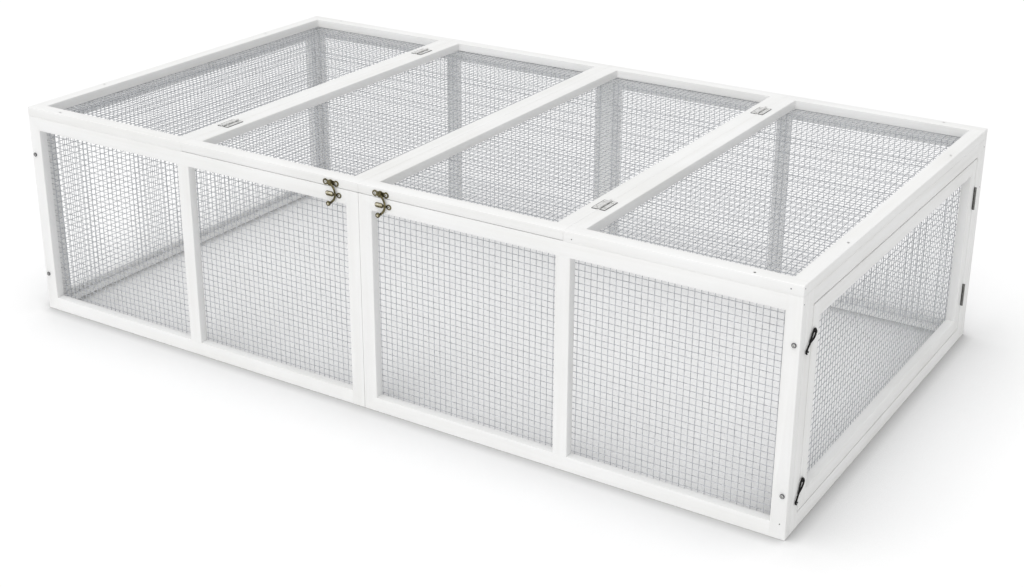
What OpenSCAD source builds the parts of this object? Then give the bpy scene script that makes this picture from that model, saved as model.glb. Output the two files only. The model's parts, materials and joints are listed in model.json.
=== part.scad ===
// Outdoor rabbit run: framed wire panels, two hinged lids in the top and a door in one end.
// Millimetres. Origin on the ground at the middle of the footprint.
// +X runs along the run towards the end door, +Y to the back, +Z up. The front is at -Y.

/* [Overall] */
// Length over the end panels
run_length = 1815; // [1500:5:2400]
// Depth over the front and back panels
run_depth = 1000; // [800:5:1300]
// Height to the top of the lids
run_height = 480; // [440:5:620]

/* [Timber] */
// Width of every rail and stile
timber_w = 30; // [28:1:36]
// Thickness of every rail and stile
timber_t = 20; // [18:1:23]
// Diameter of the dowels in the butt joints
dowel_d = 6; // [5:0.5:8]
// Length of the dowels
dowel_l = 24; // [20:1:26]

/* [Gaps] */
// Gap between a lid and the frame beside it
lid_gap = 1; // [0.6:0.1:2]
// Gap all round the end door
door_gap = 3; // [2.8:0.1:4]
// Radial clearance round screws, dowels and pins
hole_gap = 0.05; // [0.02:0.01:0.08]

/* [Wire mesh] */
// Thickness of a net
net_t = 0.65; // [0.5:0.05:1.2]
// Thickness of the plain sheet in the left end, which weighs as much as its wires would
sheet_t = 0.1; // [0.1:0.05:0.65]
// Width of a net's strands, each standing for several wires
strand_w = 7.2; // [3:0.2:9]
// Spacing of the strands over the short way of a net, rounded to fit
short_way_pitch = 75; // [70:5:110]
// Spacing of the strands over the long way of a net, rounded to fit
long_way_pitch = 125; // [100:5:160]
// How far a net laps onto its frame
net_lap = 15; // [8:1:20]
// Room left between a net and the frame that stands across its end
net_end_gap = 3; // [1:0.5:5]

/* [Hinges] */
// Length of a lid hinge
lid_hinge_l = 45; // [38:1:60]
// Width of an open lid hinge
lid_hinge_w = 26; // [24:1:40]
// Distance of the lid hinges from the front and back of the run
lid_hinge_inset = 150; // [80:5:300]
// Length of a door hinge
door_hinge_l = 50; // [38:1:70]
// Depth of a door hinge's leaves inside the gap
door_hinge_reach = 19; // [17:0.5:19.5]
// Height of the lower door hinge's middle
door_hinge_low = 115; // [100:1:150]
// Distance of the upper door hinge's middle below the top
door_hinge_drop = 142; // [130:1:180]
// Thickness of a hinge leaf
leaf_t = 1.2; // [1:0.05:1.3]
// Radius of a hinge barrel
barrel_r = 2.5; // [2.3:0.1:3]
// Radius of a hinge pin
hinge_pin_r = 1.2; // [1:0.1:1.4]
// Gap between neighbouring knuckles, and beside the barrel
knuckle_gap = 0.3; // [0.2:0.05:0.5]

/* [Lid latches] */
// Distance of the left lid's latch from the panel's end stile
left_latch_off = 35; // [34:1:120]
// Distance of the right lid's latch from the panel's end stile
right_latch_off = 24; // [20:1:120]
// Distance of the latch pivot below the top
latch_drop = 11.5; // [9:0.5:12]
// Radius of the curved latch arm
arm_r = 22.4; // [21:0.2:26]
// Width of the latch arm
arm_w = 4; // [3:0.5:5]
// Thickness of the latch arm
arm_t = 2.2; // [1.6:0.1:2.6]
// Radius of the knob at the arm's end
knob_r = 4; // [3:0.5:5]
// Thickness of the latch plates
plate_t = 1.2; // [1:0.05:1.6]
// Height of the keeper's boss over its plate
boss_h = 2; // [1.5:0.1:2.4]

/* [Door hooks] */
// Distance of the upper hook's pivot below the top
upper_hook_drop = 102; // [95:1:160]
// Height of the lower hook's pivot
lower_hook_z = 92; // [90:1:150]
// Angle of the upper hook below level
upper_hook_angle = 38; // [30:1:45]
// Angle of the lower hook below level
lower_hook_angle = 52; // [40:1:55]
// Length of a hook from its pivot to its tip
hook_l = 42; // [38:1:44]
// Radius of a hook's wire
hook_wire_r = 1.7; // [1.4:0.1:2]
// Radius of a hook's eye
hook_eye_r = 4.8; // [4.4:0.1:5.5]
// Distance of the hook pivots from the door's free edge
hook_edge = 4; // [3.5:0.1:6]

/* [Fasteners] */
// Radius of a wood screw's shank
screw_r = 1.5; // [1.2:0.1:1.6]
// Radius of a countersunk head
screw_head_r = 3; // [2.6:0.1:3.2]
// Length of a wood screw behind its leaf or plate
screw_l = 14; // [10:1:15]
// Length of a screw that joins two panels
seam_screw_l = 50; // [45:1:52]
// Height of the low corner bolts
bolt_low_z = 86; // [80:1:120]
// Distance of the high corner bolts below the top
bolt_drop = 108; // [100:1:160]
// Radius of a corner bolt's shank
bolt_r = 2.5; // [2:0.1:3]
// Length of a corner bolt under its head
bolt_l = 36; // [34:1:40]
// Radius of a corner bolt's head
bolt_head_r = 4.5; // [4:0.1:6]
// Radius of an insert nut
insert_r = 4; // [3.6:0.1:5]
// Length of an insert nut
insert_l = 13; // [10:1:14]
// Radius of a nail
nail_r = 1.2; // [1:0.1:1.5]
// Length of a nail
nail_l = 40; // [35:1:42]
// Distance of the front and back nails from the ends of the run
nail_inset = 92; // [60:1:120]
// Distance of the end nails from the front and back of the run
nail_depth = 219; // [190:1:300]

/* [Hidden] */

$fn = 48;
// Room past a face that a cut goes through
over = 1;

half_l = run_length / 2;
half_d = run_depth / 2;
panel_h = run_height - timber_t;
panel_w = run_length / 2;
end_w = run_depth - 2 * timber_t;
door_w = end_w - 2 * timber_w - 2 * door_gap;
door_h = panel_h - 2 * timber_w - 2 * door_gap;
door_low = timber_w + door_gap;
quarter = run_length / 4;
lid_w = quarter - lid_gap;
fixed_top_w = quarter - lid_gap / 2;

// Where a net starts at a frame's free edge, and where a frame stands across its end
net_edge = timber_w - net_lap;
net_corner = timber_t + net_end_gap;

// Hinge axes stand clear of the timber by a hair, and leaves start beside the barrel
axis_rise = barrel_r + 0.1;
leaf_start = barrel_r + knuckle_gap + 0.1;
lid_axis_z = run_height + axis_rise;
lid_hinge_y = half_d - lid_hinge_inset;
door_axis_x = half_l + axis_rise;
door_axis_y = (door_w + door_gap) / 2;
door_hinges = [door_hinge_low, run_height - door_hinge_drop];
hinge_screw_share = 0.56;
knuckles = 5;

// Distances of the latch pivots from the middle of the run
left_latch_out = timber_w + left_latch_off;
right_latch_out = timber_w + right_latch_off;

// Latch parts, measured from the pivot on the front face
play = 0.1;
keeper_clearance = 0.4;
arm_back = plate_t + boss_h + keeper_clearance;
arm_eye_r = 4.6;
arm_start = 63.4;
arm_end = -70;
stud_r = 2;
stud_shoulder_r = 3.4;
stud_head_r = 3.6;
stud_head_h = 1.2;
knob_lift = 3;
ear_spread = 13;
ear_r = 5.5;
plate_waist = 9;
plate_middle_r = 6.5;
keeper_drop = 23;
keeper_rim = 1;
boss_x = -4;
boss_w = 18;
boss_tall = 8;
keeper_ear_x = 19;
keeper_ear_r = 5;
keeper_neck = 5;

// Hook parts, measured outwards from the end face
hook_mid = hook_wire_r + 0.9;
hook_eye_t = 2.4;
hook_taper_l = 14;
hook_tip_l = 5.5;
hook_lug_start = 4;
hook_lug_l = 9.5;
hook_lug_angle = 136;
hook_pivot_y = hook_edge - door_w / 2;
upper_hook_z = run_height - upper_hook_drop;
pivot_screw_r = 1.6;
pivot_head_r = 3.6;
pivot_head_top_r = 2.6;
pivot_head_h = 1.8;
rest_pin_r = 1.5;
rest_pin_out = 5;
hook_rest_gap = 0.3;
hook_tip_gap = 0.5;

bolt_high_z = run_height - bolt_drop;
bolt_head_h = 2.6;
bolt_socket_r = 1.7;
bolt_socket_depth = 1.5;
nail_head_r = 2.2;
nail_head_h = 1;

white = "#f4f5f3";
wire = "#b9bdbd";
steel = "#b4b6b4";
brass = "#8c7a4a";
black = "#1f2022";
dark_steel = "#4b4e52";
beech = "#d8bd8c";

// ---- Frames, each drawn flat: x along it, y up it, z through its thickness ----

// Rectangles [x, y, size x, size y] of two stiles that stand the full height
function full_stiles(w, h) = [for (x = [0, w - timber_w]) [x, 0, timber_w, h]];
// Rails between full stiles
function short_rails(w, h) = [for (y = [0, h - timber_w]) [timber_w, y, w - 2 * timber_w, timber_w]];
// Rails that run the full width
function full_rails(w, h) = [for (y = [0, h - timber_w]) [0, y, w, timber_w]];
// Stiles between full rails
function short_stiles(w, h) = [for (x = [0, w - timber_w]) [x, timber_w, timber_w, h - 2 * timber_w]];
// Full stiles and the one in the middle of a long panel
function panel_stiles(w, h) =
    concat(full_stiles(w, h), [[(w - timber_w) / 2, timber_w, timber_w, h - 2 * timber_w]]);

// Dowels [x, y, turn] where rails butt against full stiles
function rail_dowels(w, h) =
    [for (x = [timber_w, w - timber_w], y = [timber_w / 2, h - timber_w / 2]) [x, y, 0]];
// Dowels where stiles butt against full rails
function stile_dowels(w, h) =
    [for (x = [timber_w / 2, w - timber_w / 2], y = [timber_w, h - timber_w]) [x, y, 90]];
// Dowels of a panel with a middle stile
function panel_dowels(w, h) =
    concat(rail_dowels(w, h), [for (y = [timber_w, h - timber_w]) [w / 2, y, 90]]);

module dowels(places, grow = 0)
    for (p = places)
        translate([p[0], p[1], timber_t / 2])
            rotate([0, 0, p[2]])
                rotate([0, 90, 0])
                    cylinder(h = dowel_l + 2 * grow, r = dowel_d / 2 + grow, center = true);

module bars(rectangles, places)
    difference() {
        for (b = rectangles)
            translate([b[0], b[1], 0])
                cube([b[2], b[3], timber_t]);
        dowels(places, hole_gap);
    }

// A flat net: square strands round openings, in whole numbers near the pitches
module net(w, h) {
    columns = max(1, round((w - strand_w) / (w > h ? long_way_pitch : short_way_pitch)));
    rows = max(1, round((h - strand_w) / (w > h ? short_way_pitch : long_way_pitch)));
    pitch_x = (w - strand_w) / columns;
    pitch_y = (h - strand_w) / rows;
    color(wire)
        linear_extrude(net_t)
            difference() {
                square([w, h]);
                for (i = [0 : columns - 1], j = [0 : rows - 1])
                    translate([strand_w + i * pitch_x, strand_w + j * pitch_y])
                        square([pitch_x - strand_w, pitch_y - strand_w]);
            }
}

// ---- Where flat frames stand ----

// Upright along the run, its thickness going towards the front from y
module along_run(x, y, z = 0) translate([x, y, z]) rotate([90, 0, 0]) children();
// Upright across the run, its thickness going towards the door end from x
module across_run(x, y, z = 0) translate([x, y, z]) rotate([90, 0, 90]) children();
// Side -1 is the front, 1 the back
module on_side(side, x) along_run(x, side < 0 ? timber_t - half_d : half_d) children();

// ---- Fasteners, each with its head at z = 0 and its shank down -z ----

module countersunk(length, grow = 0) {
    translate([0, 0, -leaf_t])
        cylinder(h = leaf_t, r1 = screw_r + grow, r2 = screw_head_r + grow);
    translate([0, 0, -leaf_t - length - grow])
        cylinder(h = length + grow, r = screw_r + grow);
}

module corner_bolt() {
    difference() {
        cylinder(h = bolt_head_h, r = bolt_head_r);
        translate([0, 0, bolt_head_h - bolt_socket_depth])
            cylinder(h = bolt_socket_depth + over, r = bolt_socket_r, $fn = 6);
    }
    translate([0, 0, -bolt_l])
        cylinder(h = bolt_l, r = bolt_r);
}

module corner_insert()
    translate([0, 0, -timber_t - insert_l])
        difference() {
            cylinder(h = insert_l, r = insert_r);
            translate([0, 0, -over])
                cylinder(h = insert_l + 2 * over, r = bolt_r + hole_gap);
        }

// The way through the stile, the insert's seat and the room past it for the bolt's end
module corner_bore() {
    translate([0, 0, -bolt_l - hole_gap])
        cylinder(h = bolt_l + over, r = bolt_r + hole_gap);
    translate([0, 0, -timber_t - insert_l - hole_gap])
        cylinder(h = insert_l + hole_gap, r = insert_r + hole_gap);
}

module nail(grow = 0) {
    translate([0, 0, -nail_head_h - grow])
        cylinder(h = nail_head_h + grow, r = nail_head_r + grow);
    translate([0, 0, -nail_l - grow])
        cylinder(h = nail_l, r = nail_r + grow);
}

module pivot_screw() {
    head_low = hook_mid + hook_eye_t / 2 + play;
    translate([0, 0, head_low])
        cylinder(h = pivot_head_h, r1 = pivot_head_r, r2 = pivot_head_top_r);
    translate([0, 0, -screw_l])
        cylinder(h = screw_l + head_low, r = pivot_screw_r);
}

module rest_pin()
    translate([0, 0, -screw_l])
        cylinder(h = screw_l + rest_pin_out, r = rest_pin_r);

// ---- Fastener places ----

module at_corners(side)
    for (x = [-1, 1], z = [bolt_low_z, bolt_high_z])
        translate([x * (half_l - timber_t / 2), side * half_d, z])
            rotate([-side * 90, 0, 0])
                children();

module at_all_corners() {
    at_corners(-1) children();
    at_corners(1) children();
}

module at_nails(end)
    for (y = [-1, 1]) {
        translate([end * (half_l - nail_inset), y * (half_d - timber_t / 2), run_height])
            children();
        translate([end * (half_l - timber_t / 2), y * (half_d - nail_depth), run_height])
            children();
    }

module at_all_nails() {
    at_nails(-1) children();
    at_nails(1) children();
}

// From the left panel's inner edge into its neighbour, on the front and the back
module at_seams()
    for (y = [-1, 1], z = [bolt_low_z + timber_w, bolt_high_z - timber_w])
        translate([-timber_w, y * (half_d - timber_t / 2), z])
            rotate([0, -90, 0])
                children();

// In a lid's two hinges: end is the lid's side of the run, toward the side the leaf lies on
module at_lid_hinge_screws(end, toward)
    for (y = [-lid_hinge_y, lid_hinge_y], s = [-1, 1])
        translate([
            end * quarter + toward * (leaf_start + lid_hinge_w / 2) / 2,
            y + s * lid_hinge_l * hinge_screw_share / 2,
            run_height + leaf_t
        ])
            children();

// In the door's two hinges: toward is 1 for the post's leaf and -1 for the door's
module at_door_hinge_screws(toward)
    for (z = door_hinges, s = [-1, 1])
        translate([
            door_axis_x - (leaf_start + door_hinge_reach) / 2,
            door_axis_y + toward * (door_gap / 2 - leaf_t),
            z + s * door_hinge_l * hinge_screw_share / 2
        ])
            rotate([toward * 90, 0, 0])
                children();

// A latch's own frame: x along the run, y up, z outwards from the front face
module at_latch(x, z = 0)
    translate([x, -half_d, run_height - latch_drop])
        rotate([90, 0, 0])
            translate([0, 0, z])
                children();

module at_plate_screws(x)
    for (s = [-1, 1])
        at_latch(x, plate_t)
            translate([s * ear_spread, 0, 0])
                children();

module at_keeper_screw(x)
    at_latch(x, plate_t)
        translate([keeper_ear_x, -keeper_drop, 0])
            children();

// A hook's own frame: x outwards from the end face, y from the pivot towards the tip
module at_hook(z, angle)
    translate([half_l, hook_pivot_y, z])
        rotate([180 + angle, 0, 0])
            children();

module at_rest_pin(z, angle)
    at_hook(z, angle)
        translate([
            0,
            hook_l - hook_wire_r - hook_tip_gap - rest_pin_r,
            hook_wire_r + hook_rest_gap + rest_pin_r
        ])
            rotate([0, 90, 0])
                children();

module at_rest_pins() {
    at_rest_pin(upper_hook_z, upper_hook_angle) children();
    at_rest_pin(lower_hook_z, lower_hook_angle) children();
}

module at_hook_pivots()
    for (z = [upper_hook_z, lower_hook_z])
        translate([half_l, hook_pivot_y, z])
            rotate([0, 90, 0])
                children();

// ---- Front and back panels ----

module side_rails(side, x)
    color(white)
        difference() {
            on_side(side, x)
                bars(short_rails(panel_w, panel_h), panel_dowels(panel_w, panel_h));
            at_nails(sign(x + half_l / 2)) nail(hole_gap);
            at_keeper_screw(x < 0 ? -left_latch_out : right_latch_out)
                countersunk(screw_l, hole_gap);
        }

module side_stiles(side, x)
    color(white)
        difference() {
            on_side(side, x)
                bars(panel_stiles(panel_w, panel_h), panel_dowels(panel_w, panel_h));
            at_corners(side) corner_bore();
            at_seams() countersunk(seam_screw_l, hole_gap);
        }

module front_left_rails() side_rails(-1, -half_l);
module front_left_stiles() side_stiles(-1, -half_l);
module front_right_rails() side_rails(-1, 0);
module front_right_stiles() side_stiles(-1, 0);
module back_left_rails() side_rails(1, -half_l);
module back_left_stiles() side_stiles(1, -half_l);
module back_right_rails() side_rails(1, 0);
module back_right_stiles() side_stiles(1, 0);

// ---- End frames ----

module end_rails(end, x)
    color(white)
        difference() {
            across_run(x, -end_w / 2)
                bars(short_rails(end_w, panel_h), rail_dowels(end_w, panel_h));
            at_nails(end) nail(hole_gap);
        }

module end_posts(x)
    color(white)
        difference() {
            across_run(x, -end_w / 2)
                bars(full_stiles(end_w, panel_h), rail_dowels(end_w, panel_h));
            at_all_corners() corner_bore();
            at_door_hinge_screws(1) countersunk(screw_l, hole_gap);
            at_rest_pins() rest_pin_bore();
        }

module rest_pin_bore()
    translate([0, 0, -screw_l - hole_gap])
        cylinder(h = screw_l + over, r = rest_pin_r + hole_gap);

module left_end_rails() end_rails(-1, -half_l);
module left_end_posts() end_posts(-half_l);
module right_end_rails() end_rails(1, half_l - timber_t);
module right_end_posts() end_posts(half_l - timber_t);

// ---- End door ----

module on_door() across_run(half_l - timber_t, -door_w / 2, door_low) children();

module end_door_rails()
    color(white)
        on_door() bars(short_rails(door_w, door_h), rail_dowels(door_w, door_h));

module end_door_stiles()
    color(white)
        difference() {
            on_door() bars(full_stiles(door_w, door_h), rail_dowels(door_w, door_h));
            at_door_hinge_screws(-1) countersunk(screw_l, hole_gap);
            at_hook_pivots()
                translate([0, 0, -screw_l - hole_gap])
                    cylinder(h = screw_l + over, r = pivot_screw_r + hole_gap);
        }

// ---- Top frames ----

// Left edge of each top frame
top_left_x = -half_l;
left_lid_x = -quarter + lid_gap / 2;
right_lid_x = lid_gap / 2;
top_right_x = quarter + lid_gap / 2;

module on_top(x) translate([x, -half_d, panel_h]) children();

module top_rails(x, w)
    on_top(x) bars(full_rails(w, run_depth), stile_dowels(w, run_depth));

module top_stiles(x, w)
    on_top(x) bars(short_stiles(w, run_depth), stile_dowels(w, run_depth));

module fixed_top_rails(end, x)
    color(white)
        difference() {
            top_rails(x, fixed_top_w);
            at_nails(end) nail(hole_gap);
        }

module fixed_top_stiles(end, x)
    color(white)
        difference() {
            top_stiles(x, fixed_top_w);
            at_nails(end) nail(hole_gap);
            at_lid_hinge_screws(end, end) countersunk(screw_l, hole_gap);
        }

module lid_rails(x, latch_x)
    color(white)
        difference() {
            top_rails(x, lid_w);
            at_plate_screws(latch_x) countersunk(screw_l, hole_gap);
        }

module lid_stiles(end, x)
    color(white)
        difference() {
            top_stiles(x, lid_w);
            at_lid_hinge_screws(end, -end) countersunk(screw_l, hole_gap);
        }

module top_left_rails() fixed_top_rails(-1, top_left_x);
module top_left_stiles() fixed_top_stiles(-1, top_left_x);
module left_lid_rails() lid_rails(left_lid_x, -left_latch_out);
module left_lid_stiles() lid_stiles(-1, left_lid_x);
module right_lid_rails() lid_rails(right_lid_x, right_latch_out);
module right_lid_stiles() lid_stiles(1, right_lid_x);
module top_right_rails() fixed_top_rails(1, top_right_x);
module top_right_stiles() fixed_top_stiles(1, top_right_x);

// ---- Nets, each on the inner side of its frame ----

module side_net(side, x)
    along_run(x, side < 0 ? timber_t - half_d + net_t : half_d - timber_t, net_edge)
        net(half_l - net_corner - net_edge, panel_h - 2 * net_edge);

module top_net(x, w)
    translate([x, net_corner - half_d, panel_h - net_t])
        net(w, run_depth - 2 * net_corner);

module front_left_mesh() side_net(-1, net_corner - half_l);
module front_right_mesh() side_net(-1, net_edge);
module back_left_mesh() side_net(1, net_corner - half_l);
module back_right_mesh() side_net(1, net_edge);
module left_end_mesh()
    color(wire)
        across_run(timber_t - half_l, net_edge - end_w / 2, net_edge)
            cube([end_w - 2 * net_edge, panel_h - 2 * net_edge, sheet_t]);
module end_door_mesh()
    across_run(half_l - timber_t - net_t, net_edge - door_w / 2, door_low + net_edge)
        net(door_w - 2 * net_edge, door_h - 2 * net_edge);
module top_left_mesh() top_net(net_corner - half_l, fixed_top_w - net_corner - net_edge);
module left_lid_mesh() top_net(left_lid_x + net_edge, lid_w - 2 * net_edge);
module right_lid_mesh() top_net(right_lid_x + net_edge, lid_w - 2 * net_edge);
module top_right_mesh() top_net(top_right_x + net_edge, fixed_top_w - net_corner - net_edge);

// ---- Dowels ----

module frame_dowels()
    color(beech) {
        for (side = [-1, 1], x = [-half_l, 0])
            on_side(side, x) dowels(panel_dowels(panel_w, panel_h));
        for (x = [-half_l, half_l - timber_t])
            across_run(x, -end_w / 2) dowels(rail_dowels(end_w, panel_h));
        for (x = [top_left_x, top_right_x])
            on_top(x) dowels(stile_dowels(fixed_top_w, run_depth));
    }

module left_lid_dowels()
    color(beech) on_top(left_lid_x) dowels(stile_dowels(lid_w, run_depth));

module right_lid_dowels()
    color(beech) on_top(right_lid_x) dowels(stile_dowels(lid_w, run_depth));

module end_door_dowels()
    color(beech) on_door() dowels(rail_dowels(door_w, door_h));

// ---- Hinges ----

// A leaf with its knuckles: axis along y, plate on the side given by toward, its underside at low
module leaf(length, reach, low, toward, first) {
    knuckle_l = (length - (knuckles - 1) * knuckle_gap) / knuckles;
    difference() {
        union() {
            translate([toward > 0 ? leaf_start : -reach, 0, low])
                cube([reach - leaf_start, length, leaf_t]);
            for (k = [first : 2 : knuckles - 1])
                translate([0, k * (knuckle_l + knuckle_gap), 0]) {
                    rotate([-90, 0, 0])
                        cylinder(h = knuckle_l, r = barrel_r);
                    translate([toward > 0 ? 0 : -leaf_start, 0, low])
                        cube([leaf_start, knuckle_l, leaf_t]);
                }
        }
        translate([0, -over, 0])
            rotate([-90, 0, 0])
                cylinder(h = length + 2 * over, r = hinge_pin_r + hole_gap);
    }
}

// Moves children to the start of each of a lid's two hinges
module at_lid_hinges(end)
    for (y = [-lid_hinge_y, lid_hinge_y])
        translate([end * quarter, y - lid_hinge_l / 2, lid_axis_z])
            children();

// Moves children to the foot of each door hinge, with its y upwards
module at_door_hinges()
    for (z = door_hinges)
        translate([door_axis_x, door_axis_y, z - door_hinge_l / 2])
            rotate([90, 0, 0])
                children();

module lid_leaves(end, toward, first)
    color(steel)
        difference() {
            at_lid_hinges(end) leaf(lid_hinge_l, lid_hinge_w / 2, -axis_rise, toward, first);
            at_lid_hinge_screws(end, toward) countersunk(screw_l, hole_gap);
        }

module door_leaves(low, toward, first)
    color(dark_steel)
        difference() {
            at_door_hinges() leaf(door_hinge_l, door_hinge_reach, low, -1, first);
            at_door_hinge_screws(toward) countersunk(screw_l, hole_gap);
        }

module left_lid_hinge_fixed_leaves() lid_leaves(-1, -1, 0);
module left_lid_hinge_moving_leaves() lid_leaves(-1, 1, 1);
module right_lid_hinge_fixed_leaves() lid_leaves(1, 1, 0);
module right_lid_hinge_moving_leaves() lid_leaves(1, -1, 1);
module door_hinge_fixed_leaves() door_leaves(-door_gap / 2, 1, 0);
module door_hinge_moving_leaves() door_leaves(door_gap / 2 - leaf_t, -1, 1);

module hinge_pins()
    color(steel) {
        for (end = [-1, 1])
            at_lid_hinges(end)
                rotate([-90, 0, 0])
                    cylinder(h = lid_hinge_l, r = hinge_pin_r);
        at_door_hinges()
            rotate([-90, 0, 0])
                cylinder(h = door_hinge_l, r = hinge_pin_r);
    }

// ---- Lid latches ----

module capsule(w, h) {
    square([w - h, h], center = true);
    for (s = [-1, 1])
        translate([s * (w - h) / 2, 0])
            circle(d = h);
}

// Plate with its pivot stud, on the lid's front edge
module latch_plate(x)
    color(brass)
        difference() {
            at_latch(x) {
                linear_extrude(plate_t) {
                    square([2 * ear_spread, plate_waist], center = true);
                    circle(r = plate_middle_r);
                    for (s = [-1, 1])
                        translate([s * ear_spread, 0])
                            circle(r = ear_r);
                }
                cylinder(h = arm_back - play, r = stud_shoulder_r);
                cylinder(h = arm_back + arm_t + play + stud_head_h, r = stud_r);
                translate([0, 0, arm_back + arm_t + play])
                    cylinder(h = stud_head_h, r = stud_head_r);
            }
            at_plate_screws(x) countersunk(screw_l, hole_gap);
        }

// Curved arm that hangs from the stud, round the keeper's boss to a knob under it
module latch_arm(x) {
    centre_x = -arm_r * cos(arm_start);
    centre_y = -arm_r * sin(arm_start);
    color(brass)
        at_latch(x, arm_back)
            difference() {
                union() {
                    cylinder(h = arm_t, r = arm_eye_r);
                    translate([centre_x, centre_y, 0])
                        rotate([0, 0, arm_end])
                            rotate_extrude(angle = arm_start - arm_end)
                                translate([arm_r - arm_w / 2, 0])
                                    square([arm_w, arm_t]);
                    translate([centre_x + arm_r * cos(arm_end), centre_y + arm_r * sin(arm_end), 0])
                        intersection() {
                            translate([0, 0, knob_lift])
                                sphere(r = knob_r);
                            cylinder(h = knob_lift + knob_r + over, r = knob_r + over);
                        }
                }
                translate([0, 0, -over])
                    cylinder(h = arm_t + 2 * over, r = stud_r + hole_gap);
            }
}

// Plate on the front panel with a raised boss and a screwed ear
module latch_keeper(x)
    color(brass)
        difference() {
            at_latch(x)
                translate([0, -keeper_drop, 0]) {
                    linear_extrude(plate_t) {
                        translate([boss_x, 0])
                            capsule(boss_w + 2 * keeper_rim, boss_tall + 2 * keeper_rim);
                        translate([boss_x, -keeper_neck / 2])
                            square([keeper_ear_x - boss_x, keeper_neck]);
                        translate([keeper_ear_x, 0])
                            circle(r = keeper_ear_r);
                    }
                    linear_extrude(plate_t + boss_h)
                        translate([boss_x, 0])
                            capsule(boss_w, boss_tall);
                }
            at_keeper_screw(x) countersunk(screw_l, hole_gap);
        }

module left_latch_plate() latch_plate(-left_latch_out);
module left_latch_arm() latch_arm(-left_latch_out);
module left_latch_keeper() latch_keeper(-left_latch_out);
module right_latch_plate() latch_plate(right_latch_out);
module right_latch_arm() latch_arm(right_latch_out);
module right_latch_keeper() latch_keeper(right_latch_out);

// ---- Door hooks ----

// Eye on the pivot screw, tapering to a wire whose bent tip reaches past the rest pin
module door_hook(z, angle)
    color(black)
        at_hook(z, angle)
            difference() {
                union() {
                    translate([hook_mid - hook_eye_t / 2, 0, 0])
                        rotate([90, 0, 90])
                            linear_extrude(hook_eye_t) {
                                circle(r = hook_eye_r);
                                polygon([
                                    [0, -hook_eye_r], [hook_taper_l, -hook_wire_r * 0.8],
                                    [hook_taper_l, hook_wire_r * 0.8], [0, hook_eye_r]
                                ]);
                            }
                    translate([hook_mid, hook_lug_start, 0])
                        rotate([-90, 0, 0])
                            cylinder(h = hook_l - hook_lug_start, r = hook_wire_r);
                    translate([hook_mid, hook_l, 0]) {
                        sphere(r = hook_wire_r);
                        cylinder(h = hook_tip_l, r = hook_wire_r);
                        translate([0, 0, hook_tip_l])
                            sphere(r = hook_wire_r);
                    }
                    translate([hook_mid, 0, 0])
                        rotate([hook_lug_angle - 90, 0, 0])
                            translate([0, 0, hook_lug_start])
                                cylinder(h = hook_lug_l - hook_lug_start, r = hook_wire_r);
                }
                rotate([0, 90, 0])
                    cylinder(h = 2 * hook_mid, r = pivot_screw_r + hole_gap);
            }

module upper_door_hook() door_hook(upper_hook_z, upper_hook_angle);
module lower_door_hook() door_hook(lower_hook_z, lower_hook_angle);
module hook_pivot_screws() color(steel) at_hook_pivots() pivot_screw();
module hook_rest_pins() color(black) at_rest_pins() rest_pin();

// ---- Screws, bolts and nails ----

module frame_screws()
    color(steel) {
        at_seams() countersunk(seam_screw_l);
        for (end = [-1, 1])
            at_lid_hinge_screws(end, end) countersunk(screw_l);
        at_door_hinge_screws(1) countersunk(screw_l);
        at_keeper_screw(-left_latch_out) countersunk(screw_l);
        at_keeper_screw(right_latch_out) countersunk(screw_l);
    }

module left_lid_screws()
    color(steel) {
        at_lid_hinge_screws(-1, 1) countersunk(screw_l);
        at_plate_screws(-left_latch_out) countersunk(screw_l);
    }

module right_lid_screws()
    color(steel) {
        at_lid_hinge_screws(1, -1) countersunk(screw_l);
        at_plate_screws(right_latch_out) countersunk(screw_l);
    }

module end_door_screws() color(steel) at_door_hinge_screws(-1) countersunk(screw_l);
module corner_bolts() color(dark_steel) at_all_corners() corner_bolt();
module corner_inserts() color(brass) at_all_corners() corner_insert();
module top_nails() color(dark_steel) at_all_nails() nail();

front_left_rails();
front_left_stiles();
front_right_rails();
front_right_stiles();
back_left_rails();
back_left_stiles();
back_right_rails();
back_right_stiles();
left_end_rails();
left_end_posts();
right_end_rails();
right_end_posts();
end_door_rails();
end_door_stiles();
top_left_rails();
top_left_stiles();
left_lid_rails();
left_lid_stiles();
right_lid_rails();
right_lid_stiles();
top_right_rails();
top_right_stiles();
front_left_mesh();
front_right_mesh();
back_left_mesh();
back_right_mesh();
left_end_mesh();
end_door_mesh();
top_left_mesh();
left_lid_mesh();
right_lid_mesh();
top_right_mesh();
frame_dowels();
left_lid_dowels();
right_lid_dowels();
end_door_dowels();
left_lid_hinge_fixed_leaves();
left_lid_hinge_moving_leaves();
right_lid_hinge_fixed_leaves();
right_lid_hinge_moving_leaves();
door_hinge_fixed_leaves();
door_hinge_moving_leaves();
hinge_pins();
left_latch_plate();
left_latch_arm();
left_latch_keeper();
right_latch_plate();
right_latch_arm();
right_latch_keeper();
upper_door_hook();
lower_door_hook();
hook_pivot_screws();
hook_rest_pins();
frame_screws();
left_lid_screws();
right_lid_screws();
end_door_screws();
corner_bolts();
corner_inserts();
top_nails();
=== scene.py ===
import json
import math

import bpy
from mathutils import Matrix, Vector


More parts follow.
